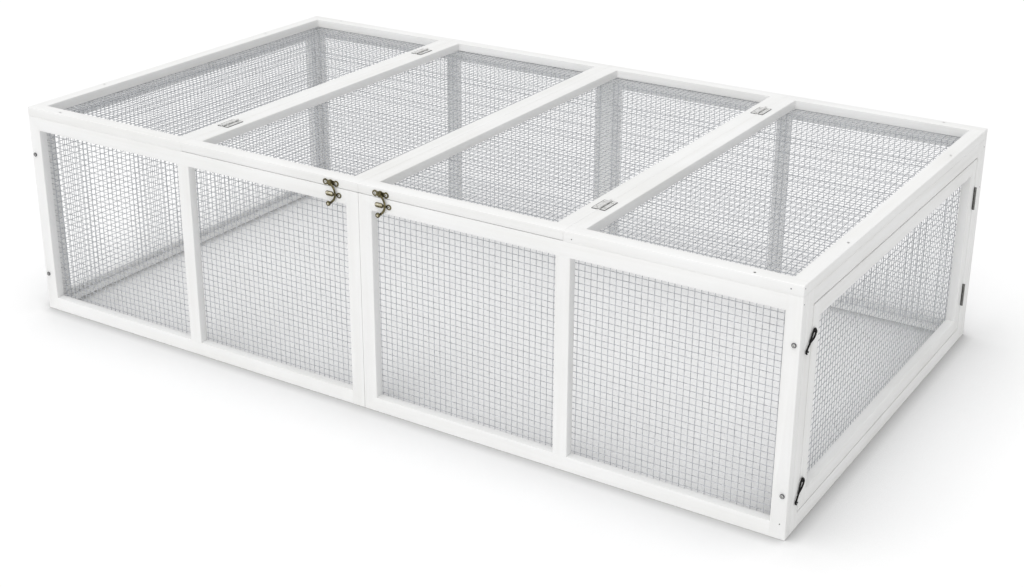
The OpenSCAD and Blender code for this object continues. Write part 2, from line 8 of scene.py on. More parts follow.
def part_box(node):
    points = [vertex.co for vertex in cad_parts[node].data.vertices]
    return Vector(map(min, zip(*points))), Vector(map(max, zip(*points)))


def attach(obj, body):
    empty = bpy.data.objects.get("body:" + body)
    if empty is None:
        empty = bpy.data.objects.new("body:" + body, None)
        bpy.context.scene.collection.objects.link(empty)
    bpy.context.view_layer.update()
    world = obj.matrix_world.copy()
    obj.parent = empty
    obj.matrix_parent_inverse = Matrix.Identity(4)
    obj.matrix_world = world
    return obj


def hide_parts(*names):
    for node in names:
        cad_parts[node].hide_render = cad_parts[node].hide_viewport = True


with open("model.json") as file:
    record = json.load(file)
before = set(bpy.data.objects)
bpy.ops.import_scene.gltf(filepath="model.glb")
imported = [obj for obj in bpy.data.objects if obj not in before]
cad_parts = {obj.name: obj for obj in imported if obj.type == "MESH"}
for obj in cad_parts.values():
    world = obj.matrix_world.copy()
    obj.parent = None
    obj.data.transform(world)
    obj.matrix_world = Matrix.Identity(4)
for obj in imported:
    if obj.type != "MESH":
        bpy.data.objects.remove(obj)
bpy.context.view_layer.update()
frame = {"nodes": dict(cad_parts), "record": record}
bpy.ops.object.select_all(action="DESELECT")
print("frame loaded:", len(frame["nodes"]), "CAD nodes")

timberWide = 0.030
timberDeep = 0.020
nearly = 1e-5  # points closer than this lie in one plane
facesAlong = 0.9  # least share of a face's normal along an axis for it to look that way
squareTo = 0.99  # and for it to lie square to that axis
axisIndex = {"x": 0, "y": 1, "z": 2}
# outer faces of the timbers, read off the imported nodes
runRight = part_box("right_end_posts")[1].x
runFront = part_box("front_left_stiles")[0].y
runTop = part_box("top_left_rails")[1].z
joints = {joint["name"]: joint for joint in frame["record"]["behaviour"]["joints"]}

# camera, light and floor

cameraSet = {
    "place": (1.752, -2.730, 1.492), "turn": 0.562, "tilt": 0.376, "roll": 0.005,
    "lens": 55.34, "sensor": 36.0, "shiftUp": -0.0586,
}


def makeCamera():
    s = cameraSet
    flat = math.cos(s["tilt"])
    ahead = Vector((-math.sin(s["turn"]) * flat, math.cos(s["turn"]) * flat, -math.sin(s["tilt"])))
    level = ahead.cross(Vector((0, 0, 1))).normalized()
    right = math.cos(s["roll"]) * level + math.sin(s["roll"]) * level.cross(ahead)
    top = right.cross(ahead)
    bpy.ops.object.camera_add()
    camera = bpy.context.object
    turned = Matrix((right, top, -ahead)).transposed().to_4x4()
    camera.matrix_world = Matrix.Translation(s["place"]) @ turned
    camera.data.lens = s["lens"]
    camera.data.sensor_width = s["sensor"]
    camera.data.shift_y = s["shiftUp"]
    bpy.context.scene.camera = camera


studioSet = {
    # strength of the sky, and how much of the white backdrop the metals mirror
    "sky": 0.65, "mirrored": 0.583, "floorColour": (0.90, 0.90, 0.90), "floorSize": 60,
    # power, spread and where it shines from: a wide lamp overhead and a low one in front
    "lamps": [(0.48, 60, (-0.02, -0.26, 0.96)), (0.16, 50, (0.04, -0.93, 0.34))],
    # shade round the run, and the line where it touches: reach, darkest tone, and how open
    # to the sky the floor is where it turns white
    "shades": [(0.45, 0.40, 0.95), (0.03, 0.40, 1.0)],
}


# matt white paper, on which the camera sees a painted shade round the run, darkest where the run touches it
def studioPaper():
    s = studioSet
    material, shader, nodes, links = newMaterial("studioFloorPaint")
    shader.inputs["Base Color"].default_value = (*s["floorColour"], 1)
    shader.inputs["Roughness"].default_value = 1.0
    shader.inputs["Specular IOR Level"].default_value = 0.0
    tints = []
    for reach, dark, clear in s["shades"]:
        near = nodes.new("ShaderNodeAmbientOcclusion")
        near.inputs["Distance"].default_value = reach
        tints.append(ramp(nodes, links, near.outputs["AO"], [dark] * 3, (1, 1, 1), 0.0, clear))
    paper = nodes.new("ShaderNodeBsdfDiffuse")
    links.new(multiply(nodes, links, *tints, 1.0), paper.inputs["Color"])
    path = nodes.new("ShaderNodeLightPath")
    mix = nodes.new("ShaderNodeMixShader")
    links.new(path.outputs["Is Camera Ray"], mix.inputs["Fac"])
    links.new(shader.outputs[0], mix.inputs[1])
    links.new(paper.outputs[0], mix.inputs[2])
    links.new(mix.outputs[0], nodes["Material Output"].inputs["Surface"])
    return material


def makeStudio():
    s = studioSet
    world = bpy.context.scene.world or bpy.data.worlds.new("studio")
    bpy.context.scene.world = world
    world.use_nodes = True
    tree = world.node_tree
    tree.nodes.clear()
    lit = tree.nodes.new("ShaderNodeBackground")
    lit.inputs["Strength"].default_value = s["sky"]
    seen = tree.nodes.new("ShaderNodeBackground")
    seen.inputs["Color"].default_value = (1, 1, 1, 1)
    seen.inputs["Strength"].default_value = 1.0
    path = tree.nodes.new("ShaderNodeLightPath")
    mix = tree.nodes.new("ShaderNodeMixShader")
    out = tree.nodes.new("ShaderNodeOutputWorld")
    mirrored = tree.nodes.new("ShaderNodeMath")
    mirrored.operation = "MULTIPLY"
    mirrored.inputs[1].default_value = s["mirrored"]
    tree.links.new(path.outputs["Is Glossy Ray"], mirrored.inputs[0])
    both = tree.nodes.new("ShaderNodeMath")
    both.operation = "MAXIMUM"
    tree.links.new(path.outputs["Is Camera Ray"], both.inputs[0])
    tree.links.new(mirrored.outputs[0], both.inputs[1])
    tree.links.new(both.outputs[0], mix.inputs["Fac"])
    tree.links.new(lit.outputs[0], mix.inputs[1])
    tree.links.new(seen.outputs[0], mix.inputs[2])
    tree.links.new(mix.outputs[0], out.inputs["Surface"])

    for power, wide, shinesFrom in s["lamps"]:
        bpy.ops.object.light_add(type="SUN")
        lamp = bpy.context.object
        lamp.data.energy = power * math.pi
        lamp.data.angle = math.radians(wide)
        lamp.rotation_euler = Vector(shinesFrom).to_track_quat("Z", "Y").to_euler()

    bpy.ops.mesh.primitive_plane_add(size=s["floorSize"])
    floor = bpy.context.object
    floor.name = "studioFloor"
    floor.data.materials.append(studioPaper())
    bpy.context.scene.view_settings.view_transform = "Standard"


# materials
def newMaterial(name):
    material = bpy.data.materials.new(name)
    material.use_nodes = True
    tree = material.node_tree
    shader = tree.nodes["Principled BSDF"]
    return material, shader, tree.nodes, tree.links


def noiseOn(nodes, links, scale, stretch=(1, 1, 1), detail=4.0, roughness=0.5):
    place = nodes.new("ShaderNodeTexCoord")
    mapping = nodes.new("ShaderNodeMapping")
    mapping.inputs["Scale"].default_value = stretch
    noise = nodes.new("ShaderNodeTexNoise")
    noise.inputs["Scale"].default_value = scale
    noise.inputs["Detail"].default_value = detail
    noise.inputs["Roughness"].default_value = roughness
    links.new(place.outputs["Object"], mapping.inputs["Vector"])
    links.new(mapping.outputs["Vector"], noise.inputs["Vector"])
    return noise.outputs["Fac"]


def ramp(nodes, links, value, low, high, lowAt=0.3, highAt=0.7):
    node = nodes.new("ShaderNodeValToRGB")
    node.color_ramp.elements[0].position = lowAt
    node.color_ramp.elements[0].color = (*low, 1)
    node.color_ramp.elements[1].position = highAt
    node.color_ramp.elements[1].color = (*high, 1)
    links.new(value, node.inputs["Fac"])
    return node.outputs["Color"]


def spread(nodes, links, value, low, high, lowAt=0.3, highAt=0.7):
    node = nodes.new("ShaderNodeMapRange")
    node.inputs["From Min"].default_value = lowAt
    node.inputs["From Max"].default_value = highAt
    node.inputs["To Min"].default_value = low
    node.inputs["To Max"].default_value = high
    links.new(value, node.inputs["Value"])
    return node.outputs["Result"]


def multiply(nodes, links, first, second, amount):
    node = nodes.new("ShaderNodeMix")
    node.data_type = "RGBA"
    node.blend_type = "MULTIPLY"
    node.inputs["Factor"].default_value = amount
    # a mix of colours has them on these numbered sockets
    links.new(first, node.inputs[6])
    links.new(second, node.inputs[7])
    return node.outputs[2]


def bumpFrom(nodes, links, shader, value, depth, strength=1.0, below=None):
    node = nodes.new("ShaderNodeBump")
    node.inputs["Distance"].default_value = depth
    node.inputs["Strength"].default_value = strength
    links.new(value, node.inputs["Height"])
    if below:
        links.new(below, node.inputs["Normal"])
    links.new(node.outputs["Normal"], shader.inputs["Normal"])
    return node.outputs["Normal"]


paintSet = {
    "pale": (0.905, 0.905, 0.900), "dull": (0.865, 0.865, 0.855), "shadow": (0.93, 0.925, 0.91),
    "shadowShare": 0.6, "roughLow": 0.42, "roughHigh": 0.60,
    # noise scale along the board and across it, detail and roughness
    "grain": (2.2, 55.0, 5.0, 0.55), "brush": (9.0, 240.0, 2.0, 0.5),
    "grainDepth": 0.00035, "brushDepth": 0.00012, "brushShare": 0.8,
    # noise scale and detail of the broad clouds, and the spans of noise over which each shade turns
    "clouds": (5.0, 3.0), "cloudSpan": (0.30, 0.62), "grainSpan": (0.30, 0.56),
}


# white satin paint over planed softwood, whose grain runs along one axis
def paintedTimber(along):
    s = paintSet
    material, shader, nodes, links = newMaterial("paintedTimber" + along.upper())
    layers = []
    for lengthways, crossways, detail, roughness in (s["grain"], s["brush"]):
        stretch = [crossways] * 3
        stretch[axisIndex[along]] = lengthways
        layers.append(noiseOn(nodes, links, 1.0, stretch, detail, roughness))
    grain, brush = layers
    scale, detail = s["clouds"]
    cloud = noiseOn(nodes, links, scale, detail=detail)
    colour = ramp(nodes, links, cloud, s["dull"], s["pale"], *s["cloudSpan"])
    tint = ramp(nodes, links, grain, s["shadow"], (1, 1, 1), *s["grainSpan"])
    links.new(multiply(nodes, links, colour, tint, s["shadowShare"]), shader.inputs["Base Color"])
    links.new(spread(nodes, links, grain, s["roughHigh"], s["roughLow"]), shader.inputs["Roughness"])
    first = bumpFrom(nodes, links, shader, grain, s["grainDepth"])
    bumpFrom(nodes, links, shader, brush, s["brushDepth"], s["brushShare"], first)
    return material


metalSet = {
    "galvanised": {"dark": (0.41, 0.42, 0.44), "light": (0.66, 0.675, 0.70), "metal": 0.5,
                   "rough": (0.42, 0.62), "scale": 160, "bump": 0.00006},
    "stapleWire": {"dark": (0.50, 0.50, 0.50), "light": (0.80, 0.80, 0.79), "metal": 0.6,
                   "rough": (0.25, 0.40), "scale": 200, "bump": 0.00003},
    "paintedNail": {"dark": (0.52, 0.51, 0.48), "light": (0.80, 0.79, 0.77), "metal": 0.0,
                    "rough": (0.45, 0.60), "scale": 420, "bump": 0.00008},
    # bright brass of the latches: a painted highlight that also stands for wear
    "litAndWornBrass": {"dark": (0.40, 0.35, 0.22), "light": (0.86, 0.82, 0.68), "metal": 0.85,
                  "rough": (0.20, 0.34), "scale": 260, "bump": 0.00004},
    "zincLeaf": {"dark": (0.68, 0.68, 0.67), "light": (0.90, 0.90, 0.89), "metal": 0.7,
                 "rough": (0.28, 0.45), "scale": 220, "bump": 0.00004},
    # dark rim and sides of the hinge leaves: painted shade round their edges
    "leafShadeRim": {"dark": (0.07, 0.07, 0.07), "light": (0.20, 0.20, 0.20), "metal": 0.5,
                "rough": (0.40, 0.60), "scale": 260, "bump": 0.00004},
    "dullPlate": {"dark": (0.10, 0.10, 0.095), "light": (0.22, 0.22, 0.21), "metal": 0.7,
                  "rough": (0.35, 0.55), "scale": 260, "bump": 0.00005},
    "blackHook": {"dark": (0.004, 0.004, 0.004), "light": (0.012, 0.012, 0.012), "metal": 0.0,
                  "rough": (0.38, 0.55), "scale": 300, "bump": 0.00005, "shine": 0.12},
    "antiqueBrass": {"dark": (0.030, 0.027, 0.013), "light": (0.22, 0.19, 0.095), "metal": 0.85,
                     "rough": (0.24, 0.45), "scale": 240, "bump": 0.00006},
    "boltSteel": {"dark": (0.06, 0.06, 0.065), "light": (0.16, 0.16, 0.17), "metal": 0.7,
                  "rough": (0.35, 0.5), "scale": 300, "bump": 0.00004},
    "screwZinc": {"dark": (0.42, 0.42, 0.40), "light": (0.78, 0.78, 0.76), "metal": 0.9,
                  "rough": (0.22, 0.38), "scale": 300, "bump": 0.00003},
    "turnedBrass": {"dark": (0.50, 0.36, 0.14), "light": (0.75, 0.58, 0.28), "metal": 0.9,
                    "rough": (0.25, 0.40), "scale": 300, "bump": 0.00003},
}
# patches on every metal: detail and roughness of their noise, and its span from dark to light
patchSet = {"detail": 5.0, "roughness": 0.6, "span": (0.32, 0.68)}


def metalFinish(name):
    s = metalSet[name]
    material, shader, nodes, links = newMaterial(name)
    shader.inputs["Metallic"].default_value = s["metal"]
    shader.inputs["Specular IOR Level"].default_value = s.get("shine", 0.5)
    patches = noiseOn(nodes, links, s["scale"], detail=patchSet["detail"], roughness=patchSet["roughness"])
    colour = ramp(nodes, links, patches, s["dark"], s["light"], *patchSet["span"])
    links.new(colour, shader.inputs["Base Color"])
    links.new(spread(nodes, links, patches, s["rough"][1], s["rough"][0]), shader.inputs["Roughness"])
    bumpFrom(nodes, links, shader, patches, s["bump"])
    return material


beechSet = {"dark": (0.55, 0.38, 0.20), "light": (0.74, 0.57, 0.36), "rough": 0.6,
            "scale": 90, "grainRough": 0.6, "bump": 0.0002}


def beechWood():
    s = beechSet
    material, shader, nodes, links = newMaterial("plainBeech")
    grain = noiseOn(nodes, links, s["scale"], roughness=s["grainRough"])
    links.new(ramp(nodes, links, grain, s["dark"], s["light"]), shader.inputs["Base Color"])
    shader.inputs["Roughness"].default_value = s["rough"]
    bumpFrom(nodes, links, shader, grain, s["bump"])
    return material


# helpers for modelling by hand
def selectOnly(piece):
    bpy.ops.object.select_all(action="DESELECT")
    piece.select_set(True)
    bpy.context.view_layer.objects.active = piece


def settle(piece):
    selectOnly(piece)
    bpy.ops.object.transform_apply(location=True, rotation=True, scale=True)
    return piece


def remove(*pieces):
    for piece in pieces:
        bpy.data.objects.remove(piece, do_unlink=True)


def joinPieces(pieces, name):
    bpy.ops.object.select_all(action="DESELECT")
    for piece in pieces:
        piece.select_set(True)
    bpy.context.view_layer.objects.active = pieces[0]
    if len(pieces) > 1:
        bpy.ops.object.join()
    whole = bpy.context.object
    whole.name = name
    whole.data.name = name
    return whole


def addBlock(low, high):
    low, high = Vector(low), Vector(high)
    bpy.ops.mesh.primitive_cube_add(size=1, location=(low + high) / 2, scale=high - low)
    return settle(bpy.context.object)


# a round bar along z from low to high, or a cone where its top has another radius
def addRound(radius, low, high, at=(0, 0), top=None, sides=28):
    bpy.ops.mesh.primitive_cone_add(
        vertices=sides, radius1=radius, radius2=radius if top is None else top,
        depth=high - low, location=(at[0], at[1], (low + high) / 2))
    return settle(bpy.context.object)


def addBall(radius, at, around, rings):
    bpy.ops.mesh.primitive_uv_sphere_add(segments=around, ring_count=rings, radius=radius, location=at)
    return settle(bpy.context.object)


# goes into edit mode with nothing picked
def editNothing(piece, kind):
    bpy.context.view_layer.objects.active = piece
    bpy.ops.object.mode_set(mode="EDIT")
    bpy.ops.mesh.select_mode(type=kind)
    bpy.ops.mesh.select_all(action="DESELECT")


def pickFaces(piece, wanted):
    editNothing(piece, "FACE")
    bpy.ops.object.mode_set(mode="OBJECT")
    for face in piece.data.polygons:
        face.select = wanted(face)
    bpy.ops.object.mode_set(mode="EDIT")


def pickEdges(piece, wanted):
    editNothing(piece, "EDGE")
    bpy.ops.object.mode_set(mode="OBJECT")
    points = piece.data.vertices
    for edge in piece.data.edges:
        edge.select = wanted(*(points[i].co for i in edge.vertices))
    bpy.ops.object.mode_set(mode="EDIT")


def applyModifier(piece, kind, **settings):
    bpy.context.view_layer.objects.active = piece
    modifier = piece.modifiers.new("shape", kind)
    for name, value in settings.items():
        setattr(modifier, name, value)
    bpy.ops.object.modifier_apply(modifier=modifier.name)
    return piece


def combine(piece, other, how):
    applyModifier(piece, "BOOLEAN", operation=how, object=other)
    remove(other)
    return piece


def roundEdges(piece, width, steps=2, sharper=50):
    return applyModifier(
        piece, "BEVEL", width=width, segments=steps, limit_method="ANGLE", angle_limit=math.radians(sharper))


def smooth(piece, angle=40):
    selectOnly(piece)
    bpy.ops.object.shade_smooth_by_angle(angle=math.radians(angle))
    return piece


def twoFinishes(piece, finishes):
    for finish in finishes:
        piece.data.materials.append(finish)


# the second material on some of a piece's faces: painted highlights on latches and bolts, and painted shade
# round hinge leaves
def useSecondFinish(piece, chosen):
    for face in piece.data.polygons:
        if chosen(face):
            face.material_index = 1


# where a part's own x and y point, with its z square to both
def stand(place, across, up):
    across, up = Vector(across), Vector(up)
    turned = Matrix((across, up, across.cross(up))).transposed().to_4x4()
    return Matrix.Translation(place) @ turned


def copyTo(template, places):
    copies = []
    for place in places:
        copy = template.copy()
        copy.data = template.data.copy()
        bpy.context.collection.objects.link(copy)
        copy.matrix_world = place
        copies.append(settle(copy))
    return copies


def dress(piece, materials, body, standsFor=()):
    if not isinstance(materials, (list, tuple)):
        materials = [materials]
    for material in materials[len(piece.data.materials):]:
        piece.data.materials.append(material)
    for place, material in enumerate(materials):
        piece.data.materials[place] = material
    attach(piece, body)
    if standsFor:
        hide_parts(*standsFor)
    bpy.ops.object.select_all(action="DESELECT")
    return piece


def bodyOf(node):
    for name, nodes in frame["record"]["behaviour"]["bodies"].items():
        if node in nodes:
            return name


# timbers: each frame is drawn whole, its edges rounded, and then sawn into its boards
timberSet = {"round": 0.0013, "snugRound": 0.0004, "endRound": 0.0019, "endFrames": ("right_end", "end_door"),
             "steps": 3, "sharp": 60, "smooth": 35, "sawn": 0.00003, "over": 0.005,
             "lidGap": 0.0003, "lidLift": 0.0015, "panelGap": 0.0007}
# frame, its upright boards, axes its rails and its stiles run along, whether its rails are full,
# whether a stile stands in the middle, and the faces that close up to a neighbour
timberFrames = [
    ("front_left", "stiles", "x", "z", False, True, ["+x"]),
    ("front_right", "stiles", "x", "z", False, True, ["-x"]),
    ("back_left", "stiles", "x", "z", False, True, ["+x"]),
    ("back_right", "stiles", "x", "z", False, True, ["-x"]),
    ("left_end", "posts", "y", "z", False, False, []),
    ("right_end", "posts", "y", "z", False, False, []),
    ("end_door", "stiles", "y", "z", False, False, []),
    ("top_left", "stiles", "x", "y", True, False, ["+x", "-z"]),
    ("left_lid", "stiles", "x", "y", True, False, ["-x", "+x", "-z"]),
    ("right_lid", "stiles", "x", "y", True, False, ["-x", "+x", "-z"]),
    ("top_right", "stiles", "x", "y", True, False, ["-x", "-z"]),
]


def makeFrame(name, uprights, railAxis, stileAxis, fullRails, middle, snug, paints):
    s = timberSet
    nodes = {"rails": name + "_rails", "stiles": name + "_" + uprights}
    boxes = [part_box(node) for node in nodes.values()]
    low = Vector([min(box[0][k] for box in boxes) for k in range(3)])
    high = Vector([max(box[1][k] for box in boxes) for k in range(3)])
    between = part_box("right_lid_stiles")[0].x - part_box("left_lid_stiles")[1].x
    shut = (between - s["lidGap"]) / 2 if stileAxis == "y" else -s["panelGap"] / 2
    if "+x" in snug:
        high.x += shut
    if "-x" in snug:
        low.x -= shut
    if "lid" in name:
        low.z += s["lidLift"]
    r, t = axisIndex[railAxis], axisIndex[stileAxis]
    n = 3 - r - t
    edges = [low[r], high[r]]
    if middle:
        centre = (low[r] + high[r]) / 2
        edges = [low[r], centre - timberWide / 2, centre + timberWide / 2, high[r]]
    inner = [low[r] + timberWide] + edges[1:-1] + [high[r] - timberWide]

    whole = addBlock(low, high)
    for start, end in zip(inner[::2], inner[1::2]):
        windowLow, windowHigh = low.copy(), high.copy()
        windowLow[r], windowHigh[r] = start, end
        windowLow[t], windowHigh[t] = low[t] + timberWide, high[t] - timberWide
        windowLow[n], windowHigh[n] = low[n] - s["over"], high[n] + s["over"]
        combine(whole, addBlock(windowLow, windowHigh), "DIFFERENCE")
    roundFrame(whole, low, high, snug, s["endRound"] if name in s["endFrames"] else s["round"])

    boards = {"rails": [], "stiles": []}
    rSpan = [low[r] - s["over"], high[r] + s["over"]]
    tSpan = [low[t] - s["over"], high[t] + s["over"]]
    rInner = [low[r] + timberWide - s["sawn"], high[r] - timberWide + s["sawn"]]
    tInner = [low[t] + timberWide - s["sawn"], high[t] - timberWide + s["sawn"]]
    hair = 2 * s["sawn"]
    if fullRails:
        boards["rails"] = [(rSpan, [tSpan[0], tInner[0]]), (rSpan, [tInner[1], tSpan[1]])]
        stileSpan = [tInner[0] + hair, tInner[1] - hair]
        boards["stiles"] = [([rSpan[0], rInner[0]], stileSpan), ([rInner[1], rSpan[1]], stileSpan)]
    else:
        boards["stiles"] = [([rSpan[0], rInner[0]], tSpan), ([rInner[1], rSpan[1]], tSpan)]
        railSpan = [rInner[0] + hair, rInner[1] - hair]
        boards["rails"] = [(railSpan, [tSpan[0], tInner[0]]), (railSpan, [tInner[1], tSpan[1]])]
        if middle:
            middleSpan = [edges[1] + s["sawn"], edges[2] - s["sawn"]]
            boards["stiles"].append((middleSpan, [tInner[0] + hair, tInner[1] - hair]))
    for kind, along in (("rails", railAxis), ("stiles", stileAxis)):
        sawn = []
        for rRange, tRange in boards[kind]:
            board = whole.copy()
            board.data = whole.data.copy()
            bpy.context.collection.objects.link(board)
            cutLow, cutHigh = low.copy(), high.copy()
            cutLow[n], cutHigh[n] = low[n] - s["over"], high[n] + s["over"]
            cutLow[r], cutHigh[r] = rRange
            cutLow[t], cutHigh[t] = tRange
            sawn.append(smooth(combine(board, addBlock(cutLow, cutHigh), "INTERSECT"), s["smooth"]))
        timber = joinPieces(sawn, nodes[kind] + "_timber")
        dress(timber, paints[along], bodyOf(nodes[kind]), [nodes[kind]])
    remove(whole)


# rounds a frame's edges, less where its face closes up to a neighbour
def roundFrame(whole, low, high, snug, width):
    s = timberSet
    editNothing(whole, "EDGE")
    bpy.ops.mesh.edges_select_sharp(sharpness=math.radians(s["sharp"]))
    bpy.ops.object.mode_set(mode="OBJECT")
    points = whole.data.vertices
    weights = whole.data.attributes.new("bevel_weight_edge", "FLOAT", "EDGE")
    for edge in whole.data.edges:
        if not edge.select:
            continue
        ends = [points[i].co for i in edge.vertices]
        weight = 1.0
        for face in snug:
            k = axisIndex[face[1]]
            plane = high[k] if face[0] == "+" else low[k]
            if all(abs(end[k] - plane) < nearly for end in ends):
                weight = s["snugRound"] / width
        weights.data[edge.index].value = weight
    applyModifier(whole, "BEVEL", width=width, segments=s["steps"], limit_method="WEIGHT")


# welded mesh: wires both ways with a bead of zinc at each weld
netSet = {"wire": 0.00073, "square": 0.0127, "sink": 0.00022, "sides": 5, "smooth": 80, "stepEvery": 2,
          "bead": 0.00101, "beadSides": (4, 2), "wave": 0.0012, "waveSize": 0.16}
# node, axis that its frame lies towards, and on which side of the net
netNodes = [
    ("front_left_mesh", "y", -1), ("front_right_mesh", "y", -1), ("back_left_mesh", "y", 1),
    ("back_right_mesh", "y", 1), ("left_end_mesh", "x", -1), ("end_door_mesh", "x", 1),
    ("top_left_mesh", "z", 1), ("left_lid_mesh", "z", 1), ("right_lid_mesh", "z", 1),
    ("top_right_mesh", "z", 1),
]


def applyArray(piece, step, count):
    applyModifier(
        piece, "ARRAY", use_relative_offset=False, use_constant_offset=True,
        constant_offset_displace=step, count=count)


# a row of parallel wires: the first begins at start, and each next one is a step further
def makeWires(start, axis, length, step, count):
    s = netSet
    k = axisIndex[axis]
    turn = {"x": (0, math.pi / 2, 0), "y": (math.pi / 2, 0, 0), "z": (0, 0, 0)}[axis]
    middle = start.copy()
    middle[k] += length / 2
    bpy.ops.mesh.primitive_cylinder_add(
        vertices=s["sides"], radius=s["wire"], depth=length, location=middle, rotation=turn)
    wire = settle(bpy.context.object)
    pickEdges(wire, lambda a, b: abs(a[k] - b[k]) > length / 2)
    bpy.ops.mesh.subdivide(number_cuts=max(1, round(length / s["square"] / s["stepEvery"]) - 1))
    bpy.ops.object.mode_set(mode="OBJECT")
    bpy.ops.object.shade_smooth_by_angle(angle=math.radians(s["smooth"]))
    applyArray(wire, step, count)
    return wire


def makeNet(node, outAxis, side, material):
    s = netSet
    low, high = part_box(node)
    n = axisIndex[outAxis]
    a, b = [axis for axis in "xyz" if axis != outAxis]
    face = high[n] if side > 0 else low[n]
    outer = face - side * s["wire"]
    inner = outer - side * (2 * s["wire"] - s["sink"])
    counts, starts = {}, {}
    for axis in (a, b):
        k = axisIndex[axis]
        room = high[k] - low[k] - 2 * s["wire"]
        counts[axis] = int(room / s["square"]) + 1
        starts[axis] = (low[k] + high[k]) / 2 - (counts[axis] - 1) * s["square"] / 2
    pieces = []
    for axis, other, depth in ((a, b, inner), (b, a, outer)):
        k, j = axisIndex[axis], axisIndex[other]
        start = Vector((0, 0, 0))
        start[k], start[j], start[n] = low[k], starts[other], depth
        step = Vector((0, 0, 0))
        step[j] = s["square"]
        pieces.append(makeWires(start, axis, high[k] - low[k], step, counts[other]))
    at = Vector((0, 0, 0))
    at[axisIndex[a]], at[axisIndex[b]], at[n] = starts[a], starts[b], (inner + outer) / 2
    bead = addBall(s["bead"], at, *s["beadSides"])
    for axis in (a, b):
        step = Vector((0, 0, 0))
        step[axisIndex[axis]] = s["square"]
        applyArray(bead, step, counts[axis])
    net = joinPieces(pieces + [bead], node + "_wires")
    clouds = bpy.data.textures.new(node + "Wave", "CLOUDS")
    clouds.noise_scale = s["waveSize"]
    applyModifier(
        net, "DISPLACE", texture=clouds, texture_coords="LOCAL", direction=outAxis.upper(),
        mid_level=0.0, strength=-side * s["wave"])
    dress(net, material, bodyOf(node), [node])


# staples that hold the nets: a flat crown whose two legs go into the timber
stapleSet = {"wide": 0.0095, "thick": 0.0009, "deep": 0.0007, "leg": 0.003, "round": 0.00025,
             "smooth": 60, "apart": 0.085, "fromEdge": 0.0065}


def makeStaple():
    s = stapleSet
    half = s["wide"] / 2
    staple = addBlock((-half, -s["thick"] / 2, 0), (half, s["thick"] / 2, s["deep"]))
    pickEdges(staple, lambda a, b: abs(a.x - b.x) > half)
    bpy.ops.mesh.subdivide(number_cuts=2)
    bpy.ops.object.mode_set(mode="OBJECT")
    for point in staple.data.vertices:
        if abs(point.co.x) < half - nearly:
            point.co.x = math.copysign(half - s["deep"], point.co.x)
    pickFaces(staple, lambda face: face.normal.z < -facesAlong and abs(face.center.x) > half - s["deep"])
    bpy.ops.mesh.extrude_region_move(TRANSFORM_OT_translate={"value": (0, 0, -s["leg"])})
    bpy.ops.object.mode_set(mode="OBJECT")
    return smooth(roundEdges(staple, s["round"], 1), s["smooth"])


# places along the four edges of a net, on the side that faces into the run
def staplePlaces(node, outAxis, side):
    s = stapleSet
    low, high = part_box(node)
    n = axisIndex[outAxis]
    inward = Vector((0, 0, 0))
    inward[n] = -side
    face = (high[n] if side > 0 else low[n]) - side * (4 * netSet["wire"] - netSet["sink"])
    places = []
    for along, across in ((a, b) for a in range(3) for b in range(3) if n not in (a, b) and a != b):
        length = high[along] - low[along] - 2 * s["fromEdge"]
        count = max(2, round(length / s["apart"]))
        for edge in (low[across] + s["fromEdge"], high[across] - s["fromEdge"]):
            for i in range(count):
                at = Vector((0, 0, 0))
                at[n], at[across] = face, edge
                at[along] = low[along] + s["fromEdge"] + (i + 0.5) * length / count
                run = Vector((0, 0, 0))
                run[across] = 1.0
                places.append(stand(at, run, inward.cross(run)))
    return places


# countersunk cross-head screws: their rim lies in the face that they hold
screwSet = {"head": 0.003, "shank": 0.0015, "cone": 0.0012, "dome": 0.0003, "length": 0.014, "sides": 20,
            "seamLength": 0.050, "crossWide": 0.0008, "crossLong": 0.0032, "crossDeep": 0.0008,
            # how far in each ring of the dome lies, and its share of the dome's height
            "domeRings": [(0.0005, 0.6), (0.0009, 0.4)]}


def makeScrew(length):
    s = screwSet
    screw = addRound(s["shank"], -s["cone"], 0, top=s["head"], sides=s["sides"])
    pickFaces(screw, lambda face: face.normal.z < -facesAlong)
    bpy.ops.mesh.extrude_region_move(TRANSFORM_OT_translate={"value": (0, 0, -length)})
    bpy.ops.object.mode_set(mode="OBJECT")
    pickFaces(screw, lambda face: face.normal.z > facesAlong)
    for inward, lift in s["domeRings"]:
        bpy.ops.mesh.inset(thickness=inward)
        bpy.ops.transform.translate(value=(0, 0, lift * s["dome"]))
    bpy.ops.object.mode_set(mode="OBJECT")
    x, y = s["crossLong"] / 2, s["crossWide"] / 2
    for a, b in ((x, y), (y, x)):
        slot = addBlock((-a, -b, s["dome"] - s["crossDeep"]), (a, b, s["dome"] * 2))
        combine(screw, slot, "DIFFERENCE")
    return smooth(screw)


# hinges: plates with rolled knuckles on a pin, drawn with their axis along y and their underside at low
hingeSet = {"barrel": 0.0025, "start": 0.0029, "thick": 0.0012, "knuckles": 5, "gap": 0.0003,
            "sides": 24, "lidReach": 0.0145, "lidLength": 0.050, "lidCadLength": 0.045,
            "doorReach": 0.019, "doorLength": 0.050, "doorGap": 0.003,
            "corner": 0.0018, "cornerSteps": 4, "round": 0.0003, "rim": 0.0010, "sunk": 0.00002,
            # how far each screw sits from a leaf's middle, as a share of its length
            "screwShare": 0.28,
            "pin": 0.0012, "pinProud": 0.0005, "pinRound": 0.0004, "pinSides": 20, "pinSmooth": 60}


